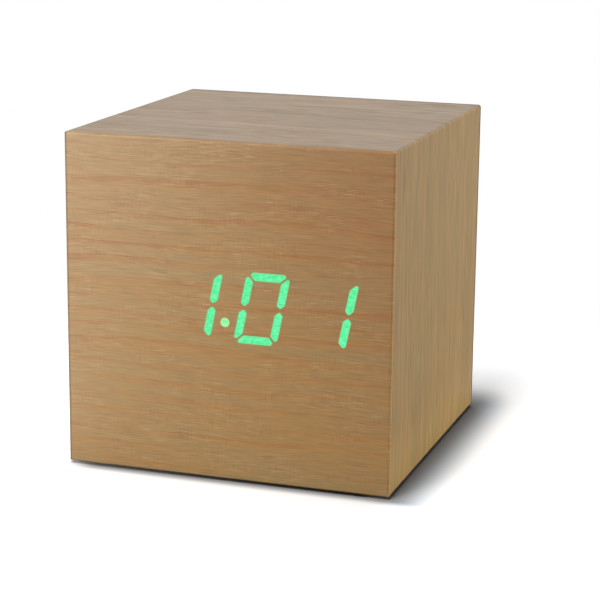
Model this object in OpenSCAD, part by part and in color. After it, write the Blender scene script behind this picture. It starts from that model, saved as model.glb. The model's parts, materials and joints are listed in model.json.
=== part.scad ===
// Cube desk alarm clock: a veneered fibreboard box with a four-digit LED display that shines through
// its front, push buttons, a power jack and a three-cell battery compartment at the back.
// Millimetres. +Z is up, the display faces -Y, and the origin is on the table under the box's centre.

/* [Wooden box] */
// Width of the box
case_w = 68; // [66:1:90]
// Depth of the box, front to back
case_d = 68; // [62:1:90]
// Height of the box without its feet
case_h = 68; // [66:1:90]
// Thickness of the four boards of the sleeve
board_t = 4; // [3:0.5:4.5]
// Thickness of the front board
front_board_t = 4; // [3:0.5:6]
// Thickness of the wood veneer
veneer_t = 0.5; // [0.4:0.1:0.8]
// Radius that the outer edges are eased to
edge_r = 0.6; // [0.3:0.1:1]
// Side of the square glue blocks in the rear corners
block_side = 5; // [4.5:0.1:6]
// Length of the glue blocks
block_l = 5.6; // [4.5:0.1:5.8]

/* [Feet] */
// Diameter of a foot pad
foot_d = 8; // [5:0.5:12]
// Thickness of a foot pad
foot_h = 0.5; // [0.4:0.1:2]
// Distance from a pad's centre to the sides of the box
foot_inset = 9; // [7:0.5:14]
// Chamfer round a pad's lower edge
foot_chamfer = 0.2; // [0.1:0.05:0.35]

/* [Display] */
// The four digits shown, with -1 for a dark digit
shown_time = [-1, 1, 0, 1];
// Height of a digit
digit_h = 14.5; // [12:0.1:16]
// Width of a digit at one height
digit_w = 9.15; // [8:0.05:10]
// Room between the display block and the side walls
display_room = 2.15; // [1.2:0.05:4]
// Slant of the digits in degrees
digit_slant = 11.5; // [0:0.5:14]
// Width of a segment
segment_t = 1.75; // [1.2:0.05:2]
// Gap between two segments
segment_gap = 0.3; // [0.25:0.05:0.6]
// Rounding of a segment's corners
segment_r = 0.52; // [0.1:0.02:0.58]
// Diameter of the dot between hours and minutes
dot_d = 2; // [1.4:0.05:2.4]
// Distance of the dot below the middle of the digits
dot_drop = 3.3; // [2:0.1:5]
// Sideways place of the display from the middle of the front
display_shift_x = 0.6; // [-0.8:0.1:0.8]
// Height of the display above the middle of the front
display_shift_z = 1.5; // [-2:0.1:2]
// Thickness of the diffuser film behind the veneer
film_t = 0.3; // [0.2:0.05:0.6]
// Depth of the reflector block with its light wells
reflector_d = 8; // [7:0.5:10]
// Border of the reflector block beside the digits
reflector_side = 0.5; // [0.3:0.1:0.6]
// Border of the reflector block above and below the digits
reflector_rim = 2.4; // [1.5:0.1:3.5]

/* [Circuit boards] */
// Thickness of the main board
main_board_t = 1.6; // [1:0.2:2]
// Height of the main board
main_board_h = 40; // [38:1:46]
// Distance of the main board's screws from its edges
main_screw_inset = 3; // [2.5:0.1:3.4]
// Diameter of the spacers under the main board
spacer_d = 4.5; // [3.6:0.1:5]
// Thickness of the key board
key_board_t = 1.2; // [0.8:0.2:1.6]
// Room round the key board
key_board_room = 0.4; // [0.2:0.1:0.8]
// Width of the flat ribbon cable
ribbon_w = 9; // [6:0.5:11]
// Thickness of the flat ribbon cable
ribbon_t = 0.8; // [0.5:0.1:1.2]
// Diameter of a battery lead with its insulation
lead_d = 1.3; // [1:0.1:1.8]

/* [Buttons] */
// Diameter of a button
button_d = 5; // [4:0.1:5.4]
// Radial clearance of a button in the back panel
button_clearance = 0.15; // [0.1:0.05:0.3]
// Width of the flange that keeps a button in
button_flange = 0.8; // [0.5:0.1:0.9]
// Thickness of that flange
button_flange_t = 0.9; // [0.6:0.1:1.2]
// Height of a button over the back panel
button_stand = 0.9; // [0.5:0.1:1.1]
// Travel of a button
button_travel = 0.5; // [0.2:0.1:0.8]
// Side of a tact switch
tact_side = 6; // [5:0.1:6.4]
// Height of a tact switch's body
tact_h = 3.5; // [3:0.1:4.5]
// Diameter of a tact switch's plunger
plunger_d = 3.5; // [2.5:0.1:3.8]
// Height of the plunger over the switch's body
plunger_stand = 1.5; // [1.2:0.1:2]

/* [Back panel] */
// Distance of the panel inside the rear edge of the box
back_recess = 1.2; // [1.2:0.1:2.5]
// Thickness of the panel
panel_t = 3; // [2.8:0.1:4]
// Clearance round the panel
panel_gap = 0.2; // [0.1:0.05:0.4]
// Share of the height beside the battery door that lies under it
strip_share = 0.4; // [0.36:0.01:0.42]
// Diameter of the panel's screw shanks
screw_d = 1.7; // [1.4:0.1:2.2]
// Diameter of the panel's screw heads
screw_head_d = 3.6; // [3:0.1:4]
// Number of sound holes
sound_holes = 7; // [3:1:9]
// Diameter of a sound hole
sound_hole_d = 1.6; // [1:0.1:2]
// Distance from one sound hole to the next
sound_hole_pitch = 3.2; // [2.6:0.1:4]
// Diameter of the microphone's hole
mic_hole_d = 1.5; // [1:0.1:2]

/* [Battery door] */
// Thickness of the door
door_t = 2; // [1.6:0.1:2.2]
// Gap round the door
door_gap = 0.25; // [0.2:0.05:0.4]
// Width of the ledge that the door lies on
ledge_w = 1.3; // [1.2:0.1:1.8]
// Diameter of the door's hinge pins
hinge_pin_d = 1.2; // [1:0.1:1.3]
// Length of the door's hinge pins
hinge_pin_l = 1.2; // [1:0.1:1.6]
// Width of the latch
latch_w = 8; // [6:0.5:12]
// Height of the latch's strip in the door
latch_l = 8; // [6:0.5:10]
// Thickness of the latch's strip
latch_t = 1.2; // [0.9:0.1:1.5]
// Bite of the latch behind the panel
latch_bite = 0.8; // [0.5:0.1:1]

/* [Batteries] */
// Diameter of a cell
cell_d = 10.5; // [10.2:0.1:10.6]
// Length of a cell with its nub
cell_l = 44.5; // [43.5:0.1:44.6]
// Gap between two cells
cell_gap = 0.4; // [0.2:0.1:0.8]
// Room for the length of a cell in the opening
cell_room = 1.4; // [1:0.1:2.5]
// Space for a contact spring
spring_l = 3.6; // [3:0.1:4.2]
// Diameter of the springs' wire
spring_wire_d = 0.6; // [0.4:0.05:0.6]
// Turns of a contact spring
spring_turns = 2.5; // [2:0.25:2.75]
// Thickness of the contact plates
contact_t = 0.3; // [0.2:0.05:0.5]
// Wall of the battery tray
tray_wall = 1.2; // [1:0.1:1.5]

/* [Power jack] */
// Outer diameter of the jack's collar
jack_d = 6; // [5:0.1:6.4]
// Bore of the jack
jack_bore = 3.7; // [3.4:0.1:4]
// Diameter of the jack's pin
jack_pin_d = 1.3; // [1:0.1:1.6]
// Depth of the jack's bore
jack_depth = 7.5; // [6:0.5:8]

/* [Hidden] */
$fn = 64;

// Small clearances that several pieces share
cut_over = 1;
slip = 0.15;
shank_slip = 0.05;
hinge_slip = 0.05;
cell_slip = 0.2;
door_cell_gap = 0.3;

// The box
wall = board_t + veneer_t;
core_w = case_w - 2 * veneer_t;
core_h = case_h - 2 * veneer_t;
inner_w = case_w - 2 * wall;
inner_h = case_h - 2 * wall;
inner_bottom = foot_h + wall;
inner_top = inner_bottom + inner_h;
mid_z = foot_h + case_h / 2;
front_y = -case_d / 2;
back_y = case_d / 2;
veneer_in_y = front_y + veneer_t;
front_board_in_y = veneer_in_y + front_board_t;
panel_out_y = back_y - back_recess;
panel_in_y = panel_out_y - panel_t;

// The display
slant = tan(digit_slant);
display_x = display_shift_x;
display_z = mid_z + display_shift_z;
reflector_w = inner_w - 2 * display_room;
display_w = reflector_w - 2 * reflector_side;
digit_pitch = (display_w - digit_w - digit_h * slant) / 3;
reflector_h = digit_h + 2 * reflector_rim;
film_in_y = veneer_in_y + film_t;
reflector_in_y = film_in_y + reflector_d;
led_h = 0.8;
led_l = 1.6;
led_w = 0.8;
guide_led_gap = 0.2;
corner_steps = 4;

// The main board
main_in_y = reflector_in_y + main_board_t;
main_board_w = reflector_w;
main_screw_x = main_board_w / 2 - main_screw_inset;
main_screw_z = main_board_h / 2 - main_screw_inset;
main_screw_d = 1.7;
main_screw_bite = 2.4;
main_screw_head_d = 3.4;
main_screw_head_h = 1.2;
chip_size = [17.9, 2.3, 7.5];
chip_at = [-2, 5.5];
chip_leads = 14;
chip_lead_pitch = 1.27;
crystal_d = 2;
crystal_l = 6;
crystal_at = [13, 8];
buzzer_d = 12;
buzzer_h = 7;
buzzer_hole_d = 2;
buzzer_inset = 13;
buzzer_at = [main_board_w / 2 - buzzer_inset, -8];
capacitor_d = 5;
capacitor_h = 7;
capacitor_at = [3, -9];
sensor_d = 2.4;
coin_d = 12.5;
coin_t = 2;
coin_inset = 14;
coin_at = [coin_inset - main_board_w / 2, -9];
sensor_at = [coin_at[0], 3];
coin_rim = 1.2;
coin_floor_t = 0.8;
coin_proud = 0.4;
socket_side = 1;
socket_size = [ribbon_w + 2 * socket_side, 4, 3.4];
main_socket_z = display_z + main_board_h / 2 - socket_size[2];
lead_gap = 3;
lead_inset = 7;
lead_rise = 2;
lead_x = display_x + main_board_w / 2 - lead_inset;
lead_main_z = display_z + lead_rise;

// The cells, their tray and the battery door
cell_pitch = cell_d + cell_gap;
stack_h = 3 * cell_d + 2 * cell_gap;
tray_inner_l = cell_l + spring_l + 2 * contact_t;
tray_inner_h = stack_h + 2 * cell_slip;
open_w = cell_l + cell_room;
latch_play = 0.4;
latch_leg_t = 1;
latch_nose_t = 0.8;
latch_ridges = 4;
latch_ridge_d = 0.7;
latch_ridge_pitch = 1.3;
latch_room = 2 * latch_play + latch_leg_t + cell_slip;
door_w = open_w + 2 * ledge_w;
door_h = 2 * ledge_w + tray_inner_h + tray_wall + latch_room;
strip_h = (inner_h - door_h) * strip_share;
door_bottom = inner_bottom + strip_h;
door_top = door_bottom + door_h;
door_in_y = panel_out_y - door_t;
pocket_in_y = door_in_y - cell_slip;
hinge_y = panel_out_y - door_t / 2;
hinge_z = door_bottom + door_t / 2;
open_bottom = door_bottom + ledge_w;
open_top = door_top - ledge_w;
tray_bottom = open_bottom;
cell_y = door_in_y - door_cell_gap - cell_d / 2;
tray_floor_y = cell_y - cell_d / 2 - cell_slip;
tray_front_y = tray_floor_y - tray_wall;
cell_z = [for (i = [0:2]) tray_bottom + cell_slip + cell_d / 2 + i * cell_pitch];
cell_side = [1, -1, 1];
nub_d = 3.8;
nub_l = 0.8;
cell_edge_r = 0.6;
contact_side = 8;
spring_base_r = 3.6;
spring_tip_r = 2.4;
spring_rings = 8;

// The buttons and the key board
key_z = (door_top + inner_top) / 2;
flange_out_y = panel_in_y - slip;
flange_in_y = flange_out_y - button_flange_t;
key_out_y = flange_in_y - plunger_stand - tact_h;
key_in_y = key_out_y - key_board_t;
plunger_reach = 1.3;
button_dome_r = 12;
button_mark_h = 0.2;
button_flange_d = button_d + 2 * button_flange;
mic_d = 3.6;
mic_h = 1.5;
jack_rim = 0.4;
jack_side = jack_d + 2 * jack_rim;
key_boss_d = 3;
key_screw_d = 1.2;
key_screw_bite = 4;
key_screw_head_d = 2.6;
key_screw_head_h = 0.9;

// The row along the key board, from -X to +X with equal gaps:
// jack, boss, down button, up button, boss, set button, microphone
row_w = inner_w - 2 * block_side;
button_span = max(button_flange_d, tact_side);
row_spans = [jack_side, key_boss_d, button_span, button_span, key_boss_d, button_span, mic_d];
function span_sum(n) = n == 0 ? 0 : span_sum(n - 1) + row_spans[n - 1];
row_gap = (row_w - span_sum(len(row_spans))) / (len(row_spans) + 1);
function row_x(i) = -row_w / 2 + (i + 1) * row_gap + span_sum(i) + row_spans[i] / 2;
jack_x = row_x(0);
key_boss_x = [row_x(1), row_x(4)];
down_x = row_x(2);
up_x = row_x(3);
set_x = row_x(5);
mic_x = row_x(6);
key_board_w = row_w - 2 * key_board_room;
key_board_h = inner_top - door_top - 2 * key_board_room;

// A rectangle with round corners
module round_rect(w, h, r) {
    square([w - 2 * r, h], center = true);
    square([w, h - 2 * r], center = true);
    for (x = [-1, 1], y = [-1, 1])
        translate([x * (w / 2 - r), y * (h / 2 - r)])
            circle(r);
}

// A block by its lowest and highest corners
module block(low, high) {
    translate(low)
        cube(high - low);
}

// A round bar that runs along Y from y0 to y1
module bar_y(d, y0, y1, x = 0, z = 0) {
    translate([x, y1, z])
        rotate([90, 0, 0])
            cylinder(d = d, h = y1 - y0);
}

// A round bar that runs along X from x0 to x1
module bar_x(d, x0, x1, y = 0, z = 0) {
    translate([x0, y, z])
        rotate([0, 90, 0])
            cylinder(d = d, h = x1 - x0);
}

// A flat outline in X and Z, extruded from y0 to y1
module slab_y(y0, y1) {
    translate([0, y1, 0])
        rotate([90, 0, 0])
            linear_extrude(y1 - y0)
                children();
}

// A flat outline in Y and Z, extruded from x0 to x1
module slab_x(x0, x1) {
    translate([x0, 0, 0])
        rotate([90, 0, 90])
            linear_extrude(x1 - x0)
                children();
}

// The whole box with its long edges and front edges eased, and its rear edges cut square
module eased_box() {
    spare = 2 * edge_r;
    translate([0, 0, mid_z])
        intersection() {
            slab_y(front_y, back_y)
                round_rect(case_w, case_h, edge_r);
            translate([0, spare / 2, 0])
                linear_extrude(case_h, center = true)
                    round_rect(case_w, case_d + spare, edge_r);
            slab_x(-case_w / 2, case_w / 2)
                translate([spare / 2, 0])
                    round_rect(case_d + spare, case_h, edge_r);
        }
}

// Unit vector
function unit(v) = v / norm(v);

// Points of a polygon with each corner rounded to radius r in n steps
function rounded(p, r, n) = [
    for (i = [0:len(p) - 1])
        let (
            b = p[i],
            u = unit(p[(i + len(p) - 1) % len(p)] - b),
            v = unit(p[(i + 1) % len(p)] - b),
            half = acos(u * v) / 2,
            centre = b + unit(u + v) * r / sin(half),
            start = b + u * r / tan(half) - centre,
            end = b + v * r / tan(half) - centre,
            from = atan2(start[1], start[0]),
            turn = (atan2(end[1], end[0]) - from + 900) % 360 - 180
        )
        for (k = [0:n])
            centre + r * [cos(from + turn * k / n), sin(from + turn * k / n)]
];

// Seven-segment outlines, upright, with the digit's middle at zero
half_w = digit_w / 2;
half_h = digit_h / 2;
mitre = segment_gap / sqrt(2);
point = segment_gap / 2;
top_outline = [
    [-half_w + mitre, half_h],
    [half_w - mitre, half_h],
    [half_w - segment_t - mitre, half_h - segment_t],
    [-half_w + segment_t + mitre, half_h - segment_t]
];
side_outline = [
    [half_w, half_h - mitre],
    [half_w, segment_t / 2 + point],
    [half_w - segment_t / 2, point],
    [half_w - segment_t, segment_t / 2 + point],
    [half_w - segment_t, half_h - segment_t - mitre]
];
middle_outline = [
    [half_w - segment_t / 2 - mitre, 0],
    [half_w - segment_t - mitre, segment_t / 2],
    [-half_w + segment_t + mitre, segment_t / 2],
    [-half_w + segment_t / 2 + mitre, 0],
    [-half_w + segment_t + mitre, -segment_t / 2],
    [half_w - segment_t - mitre, -segment_t / 2]
];

function flipped(p, x, z) = [for (q = p) [q[0] * x, q[1] * z]];

segment_outlines = [
    top_outline,
    side_outline,
    flipped(side_outline, 1, -1),
    flipped(top_outline, 1, -1),
    flipped(side_outline, -1, -1),
    flipped(side_outline, -1, 1),
    middle_outline
];

// Middle of each segment, and whether it stands upright
segment_middles = [
    [0, half_h - segment_t / 2],
    [half_w - segment_t / 2, half_h / 2],
    [half_w - segment_t / 2, -half_h / 2],
    [0, -half_h + segment_t / 2],
    [-half_w + segment_t / 2, -half_h / 2],
    [-half_w + segment_t / 2, half_h / 2],
    [0, 0]
];
segment_upright = [0, 1, 1, 0, 1, 1, 0];

// Segments that each numeral lights
numeral_segments = [
    [0, 1, 2, 3, 4, 5], [1, 2], [0, 1, 3, 4, 6], [0, 1, 2, 3, 6], [1, 2, 5, 6],
    [0, 2, 3, 5, 6], [0, 2, 3, 4, 5, 6], [0, 1, 2], [0, 1, 2, 3, 4, 5, 6], [0, 1, 2, 3, 5, 6]
];

function lit(numeral) = numeral < 0 ? [] : numeral_segments[numeral];
function digit_x(i) = display_x + (i - 1.5) * digit_pitch;
function slanted(p) = [for (q = p) [q[0] + q[1] * slant, q[1]]];

// One segment's outline at its place on the front
module segment(digit, index) {
    translate([digit_x(digit), display_z])
        polygon(slanted(rounded(segment_outlines[index], segment_r, corner_steps)));
}

// The outlines of the segments that are lit
module lit_outlines() {
    for (d = [0:3], s = lit(shown_time[d]))
        segment(d, s);
}

dot_x = display_x - dot_drop * slant;
dot_z = display_z - dot_drop;

// Wooden box

module front_veneer() {
    color("burlywood")
        difference() {
            intersection() {
                eased_box();
                block([-case_w, front_y - cut_over, 0], [case_w, veneer_in_y, foot_h + case_h + cut_over]);
            }
            slab_y(front_y - cut_over, veneer_in_y + cut_over)
                lit_outlines();
            bar_y(dot_d, front_y - cut_over, veneer_in_y + cut_over, dot_x, dot_z);
        }
}

module wrap_veneer() {
    color("tan")
        difference() {
            intersection() {
                eased_box();
                block([-case_w, veneer_in_y, 0], [case_w, back_y + cut_over, foot_h + case_h + cut_over]);
            }
            translate([0, 0, mid_z])
                slab_y(veneer_in_y - cut_over, back_y + cut_over)
                    square([core_w, core_h], center = true);
        }
}

module front_board() {
    color("peru")
        difference() {
            translate([0, 0, mid_z])
                slab_y(veneer_in_y, front_board_in_y)
                    square([core_w, core_h], center = true);
            translate([display_x, 0, display_z])
                slab_y(veneer_in_y - cut_over, front_board_in_y + cut_over)
                    square([reflector_w + 2 * slip, reflector_h + 2 * slip], center = true);
            at_main_screws()
                bar_y(main_screw_d + 2 * shank_slip, front_board_in_y - main_screw_bite - slip,
                    front_board_in_y + cut_over);
        }
}

// One mitred board of the sleeve: a trapezium of the given outer length, lying under the line v = 0
module mitred_board(length) {
    slab_y(front_board_in_y, back_y)
        polygon([
            [-length / 2, 0],
            [length / 2, 0],
            [length / 2 - board_t, -board_t],
            [-length / 2 + board_t, -board_t]
        ]);
}

module top_board() {
    color("peru")
        translate([0, 0, mid_z + core_h / 2])
            mitred_board(core_w);
}

module bottom_board() {
    color("peru")
        translate([0, 0, mid_z - core_h / 2])
            mirror([0, 0, 1])
                mitred_board(core_w);
}

module right_board() {
    color("peru")
        translate([core_w / 2, 0, mid_z])
            rotate([0, 90, 0])
                mitred_board(core_h);
}

module left_board() {
    color("peru")
        translate([-core_w / 2, 0, mid_z])
            rotate([0, -90, 0])
                mitred_board(core_h);
}

// Places of the four rear screws
module at_panel_screws() {
    for (x = [-1, 1], z = [-1, 1])
        translate([x * (inner_w - block_side) / 2, 0, mid_z + z * (inner_h - block_side) / 2])
            children();
}

module corner_blocks() {
    color("wheat")
        at_panel_screws()
            difference() {
                slab_y(panel_in_y - block_l, panel_in_y)
                    square(block_side, center = true);
                bar_y(screw_d + 2 * shank_slip, panel_in_y - block_l - cut_over, panel_in_y + cut_over);
            }
}

module rubber_feet() {
    color("dimgray")
        for (x = [-1, 1], y = [-1, 1])
            translate([x * (case_w / 2 - foot_inset), y * (case_d / 2 - foot_inset), 0])
                rotate_extrude()
                    polygon([
                        [0, 0],
                        [foot_d / 2 - foot_chamfer, 0],
                        [foot_d / 2, foot_chamfer],
                        [foot_d / 2, foot_h],
                        [0, foot_h]
                    ]);
}

// Display

module lit_digits() {
    color("springgreen")
        slab_y(front_y, veneer_in_y)
            lit_outlines();
}

module lit_dot() {
    color("palegreen")
        bar_y(dot_d, front_y, veneer_in_y, dot_x, dot_z);
}

module diffuser_film() {
    color("whitesmoke")
        translate([display_x, 0, display_z])
            slab_y(veneer_in_y, film_in_y)
                square([reflector_w, reflector_h], center = true);
}

// The outlines of every light well
module well_outlines() {
    for (d = [0:3], s = [0:6])
        segment(d, s);
    translate([dot_x, dot_z])
        circle(d = dot_d);
}

module reflector_block() {
    color("white")
        difference() {
            translate([display_x, 0, display_z])
                slab_y(film_in_y, reflector_in_y)
                    square([reflector_w, reflector_h], center = true);
            slab_y(film_in_y - cut_over, reflector_in_y + cut_over)
                well_outlines();
        }
}

module light_guides() {
    color("honeydew")
        slab_y(film_in_y, reflector_in_y - led_h - guide_led_gap)
            well_outlines();
}

// One light source on the main board's front
module led(x, z, upright) {
    size = upright ? [led_w, led_l] : [led_l, led_w];
    translate([x, 0, z])
        slab_y(reflector_in_y - led_h, reflector_in_y)
            square(size, center = true);
}

module segment_leds() {
    color("ivory") {
        for (d = [0:3], s = [0:6])
            let (m = segment_middles[s])
                led(digit_x(d) + m[0] + m[1] * slant, display_z + m[1], segment_upright[s]);
        translate([dot_x, 0, dot_z])
            slab_y(reflector_in_y - led_h, reflector_in_y)
                square(led_w, center = true);
    }
}

// Main board

// Places of the main board's four screws
module at_main_screws() {
    for (x = [-1, 1], z = [-1, 1])
        translate([display_x + x * main_screw_x, 0, display_z + z * main_screw_z])
            children();
}

module main_board() {
    color("darkgreen")
        difference() {
            translate([display_x, 0, display_z])
                slab_y(reflector_in_y, main_in_y)
                    square([main_board_w, main_board_h], center = true);
            at_main_screws()
                bar_y(main_screw_d + 2 * shank_slip, reflector_in_y - cut_over, main_in_y + cut_over);
        }
}

module main_board_spacers() {
    color("gainsboro")
        at_main_screws()
            difference() {
                bar_y(spacer_d, front_board_in_y, reflector_in_y);
                bar_y(main_screw_d + 2 * shank_slip, front_board_in_y - cut_over, reflector_in_y + cut_over);
            }
}

// A pan-head screw that points to -Y, with its head on y_seat and a cross recess
module screw(d, y_tip, y_seat, head_d, head_h) {
    recess_depth = head_h / 2;
    recess_l = head_d * 0.6;
    recess_w = head_h * 0.4;
    difference() {
        union() {
            bar_y(d, y_tip, y_seat + head_h / 2);
            bar_y(head_d, y_seat, y_seat + head_h);
        }
        for (turn = [0, 90])
            rotate([0, turn, 0])
                translate([-recess_l / 2, y_seat + head_h - recess_depth, -recess_w / 2])
                    cube([recess_l, head_h, recess_w]);
    }
}

module main_board_screws() {
    color("silver")
        at_main_screws()
            screw(main_screw_d, front_board_in_y - main_screw_bite, main_in_y,
                main_screw_head_d, main_screw_head_h);
}

// Place of a part on the main board's rear face
module on_main(at) {
    translate([display_x + at[0], main_in_y, display_z + at[1]])
        children();
}

module controller_chip() {
    lead_row = (chip_leads - 1) * chip_lead_pitch;
    lead_w = 0.42;
    lead_reach = 1.4;
    lead_t = 0.9;
    color("black")
        on_main(chip_at) {
            translate([-chip_size[0] / 2, 0, -chip_size[2] / 2])
                cube(chip_size);
            for (side = [-1, 1], i = [0:chip_leads - 1])
                translate([i * chip_lead_pitch - lead_row / 2, 0, side * (chip_size[2] + lead_reach) / 2])
                    translate([-lead_w / 2, 0, -lead_reach / 2])
                        cube([lead_w, lead_t, lead_reach]);
        }
}

module quartz_crystal() {
    color("silver")
        on_main(crystal_at)
            bar_x(crystal_d, -crystal_l / 2, crystal_l / 2, crystal_d / 2, 0);
}

module alarm_buzzer() {
    color("black")
        on_main(buzzer_at)
            difference() {
                bar_y(buzzer_d, 0, buzzer_h);
                bar_y(buzzer_hole_d, buzzer_h / 2, buzzer_h + cut_over);
            }
}

module supply_capacitor() {
    color("midnightblue")
        on_main(capacitor_at)
            bar_y(capacitor_d, 0, capacitor_h);
}

module temperature_sensor() {
    color("saddlebrown")
        on_main(sensor_at)
            translate([0, sensor_d / 2, 0])
                sphere(d = sensor_d);
}

module backup_cell_holder() {
    outer_d = coin_d + 2 * (coin_rim + slip);
    wall_h = coin_floor_t + coin_t - coin_proud;
    color("dimgray")
        on_main(coin_at)
            difference() {
                bar_y(outer_d, 0, wall_h);
                bar_y(coin_d + 2 * slip, coin_floor_t, wall_h + cut_over);
            }
}

module backup_cell() {
    color("silver")
        on_main(coin_at)
            bar_y(coin_d, coin_floor_t, coin_floor_t + coin_t);
}

module ribbon_sockets() {
    color("ivory") {
        translate([-socket_size[0] / 2, main_in_y, main_socket_z - socket_size[2] / 2])
            cube(socket_size);
        translate([-socket_size[0] / 2, key_in_y - socket_size[1], key_z - socket_size[2] / 2])
            cube(socket_size);
    }
}

// Point at share t of a cubic curve through four control points
function curve(p, t) = pow(1 - t, 3) * p[0] + 3 * t * pow(1 - t, 2) * p[1]
    + 3 * t * t * (1 - t) * p[2] + pow(t, 3) * p[3];

// The ribbon's run from the main board's socket to the key board's, in Y and Z
ribbon_from = [main_in_y + socket_size[1], main_socket_z];
ribbon_to = [key_in_y - socket_size[1], key_z];
ribbon_bow = 14;
ribbon_run = [ribbon_from, ribbon_from + [ribbon_bow, 0], ribbon_to - [ribbon_bow, 0], ribbon_to];
ribbon_steps = 24;

module ribbon_cable() {
    half = [0, ribbon_t / 2];
    color("lightgray")
        slab_x(-ribbon_w / 2, ribbon_w / 2)
            polygon(concat(
                [for (i = [0:ribbon_steps]) curve(ribbon_run, i / ribbon_steps) - half],
                [for (i = [ribbon_steps:-1:0]) curve(ribbon_run, i / ribbon_steps) + half]
            ));
}

// Buttons and key board

module at_key_screws() {
    for (x = key_boss_x)
        translate([x, 0, key_z])
            children();
}

module key_board() {
    color("darkgreen")
        difference() {
            translate([0, 0, key_z])
                slab_y(key_in_y, key_out_y)
                    square([key_board_w, key_board_h], center = true);
            at_key_screws()
                bar_y(key_screw_d + 2 * shank_slip, key_in_y - cut_over, key_out_y + cut_over);
        }
}

module key_board_screws() {
    color("silver")
        at_key_screws()
            mirror([0, 1, 0])
                screw(key_screw_d, -key_out_y - key_screw_bite, -key_in_y,
                    key_screw_head_d, key_screw_head_h);
}

module tact_switches() {
    play = 0.15;
    color("black")
        for (x = [set_x, up_x, down_x])
            translate([x, 0, key_z])
                difference() {
                    slab_y(key_out_y, key_out_y + tact_h)
                        square(tact_side, center = true);
                    bar_y(plunger_d + 2 * play,
                        key_out_y + tact_h - plunger_reach - button_travel - play,
                        key_out_y + tact_h + cut_over);
                }
}

module plunger(x) {
    color("whitesmoke")
        bar_y(plunger_d, flange_in_y - plunger_stand - plunger_reach, flange_in_y, x, key_z);
}

// A domed push button with a retaining flange; its mark is drawn by the children
module push_button(x) {
    top_y = panel_out_y + button_stand;
    color("gray")
        translate([x, 0, key_z]) {
            bar_y(button_flange_d, flange_in_y, flange_out_y);
            intersection() {
                bar_y(button_d, flange_in_y, top_y);
                translate([0, top_y - button_dome_r, 0])
                    sphere(r = button_dome_r, $fn = 128);
            }
            intersection() {
                slab_y(panel_out_y, top_y + cut_over)
                    children();
                translate([0, top_y - button_dome_r, 0])
                    sphere(r = button_dome_r + button_mark_h, $fn = 128);
            }
        }
}

mark_border = 1.25;
mark_l = button_d - 2 * mark_border;
mark_w = 0.5;

module set_button() {
    push_button(set_x)
        difference() {
            circle(d = mark_l);
            circle(d = mark_l - 2 * mark_w);
        }
}

module up_button() {
    push_button(up_x) {
        square([mark_l, mark_w], center = true);
        square([mark_w, mark_l], center = true);
    }
}

module down_button() {
    push_button(down_x)
        square([mark_l, mark_w], center = true);
}

module set_plunger() {
    plunger(set_x);
}

module up_plunger() {
    plunger(up_x);
}

module down_plunger() {
    plunger(down_x);
}

module microphone() {
    color("silver")
        bar_y(mic_d, key_out_y, key_out_y + mic_h, mic_x, key_z);
}

jack_out_y = panel_out_y - slip;
jack_floor_y = jack_out_y - jack_depth;

module power_jack() {
    color("black")
        translate([jack_x, 0, key_z])
            difference() {
                union() {
                    slab_y(key_out_y, panel_in_y - slip)
                        square(jack_side, center = true);
                    bar_y(jack_d, key_out_y, jack_out_y);
                }
                bar_y(jack_bore, jack_floor_y, jack_out_y + cut_over);
            }
}

module power_jack_pin() {
    pin_below_mouth = 1.2;
    color("gold")
        translate([jack_x, 0, key_z])
            bar_y(jack_pin_d, jack_floor_y, jack_out_y - pin_below_mouth);
}

// Batteries

module battery_tray() {
    outer_l = tray_inner_l + 2 * tray_wall;
    low = tray_bottom - tray_wall;
    high = tray_bottom + tray_inner_h + tray_wall;
    cradle_h = 2.3;
    cradle_l = 26;
    color("dimgray") {
        difference() {
            block([-outer_l / 2, tray_front_y, low], [outer_l / 2, panel_in_y, high]);
            block([-tray_inner_l / 2, tray_floor_y, low + tray_wall],
                [tray_inner_l / 2, panel_in_y + cut_over, high - tray_wall]);
        }
        difference() {
            block([-cradle_l / 2, tray_floor_y - tray_wall / 2, low + tray_wall / 2],
                [cradle_l / 2, tray_floor_y + cradle_h, high - tray_wall / 2]);
            for (z = cell_z)
                bar_x(cell_d + 2 * cell_slip, -tray_inner_l, tray_inner_l, cell_y, z);
        }
    }
}

// A cell lying along X, with its nub towards +X for side 1 and -X for side -1
module cell(i) {
    can_l = cell_l - nub_l;
    flat_end = -side_end(i) + cell_side[i] * spring_l;
    color("lightslategray")
        translate([flat_end, cell_y, cell_z[i]])
            rotate([0, 90 * cell_side[i], 0])
                rotate_extrude()
                    polygon(concat(
                        [[0, 0]],
                        cell_corner(0, -90),
                        cell_corner(can_l - 2 * cell_edge_r, 0),
                        [[nub_d / 2, can_l], [nub_d / 2, cell_l], [0, cell_l]]
                    ));
}

// Rounded shoulder of a cell's can, from the given angle
function cell_corner(rise, from) = [
    for (k = [0:corner_steps])
        let (a = from + 90 * k / corner_steps)
            [cell_d / 2 - cell_edge_r + cell_edge_r * cos(a), rise + cell_edge_r + cell_edge_r * sin(a)]
];

// Inner face of the contact plate that a cell's nub meets
function side_end(i) = cell_side[i] * (tray_inner_l / 2 - contact_t);

module battery_lower() {
    cell(0);
}

module battery_middle() {
    cell(1);
}

module battery_upper() {
    cell(2);
}

// A contact plate on one end wall of the tray that reaches from one cell's height to another's
module contact_plate(side, from, to) {
    face = side * tray_inner_l / 2;
    block([min(face, face - side * contact_t), cell_y - contact_side / 2, cell_z[from] - contact_side / 2],
        [max(face, face - side * contact_t), cell_y + contact_side / 2, cell_z[to] + contact_side / 2]);
}

module contact_plates() {
    color("lightgray") {
        contact_plate(-1, 0, 0);
        contact_plate(1, 0, 1);
        contact_plate(-1, 1, 2);
        contact_plate(1, 2, 2);
    }
}

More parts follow.
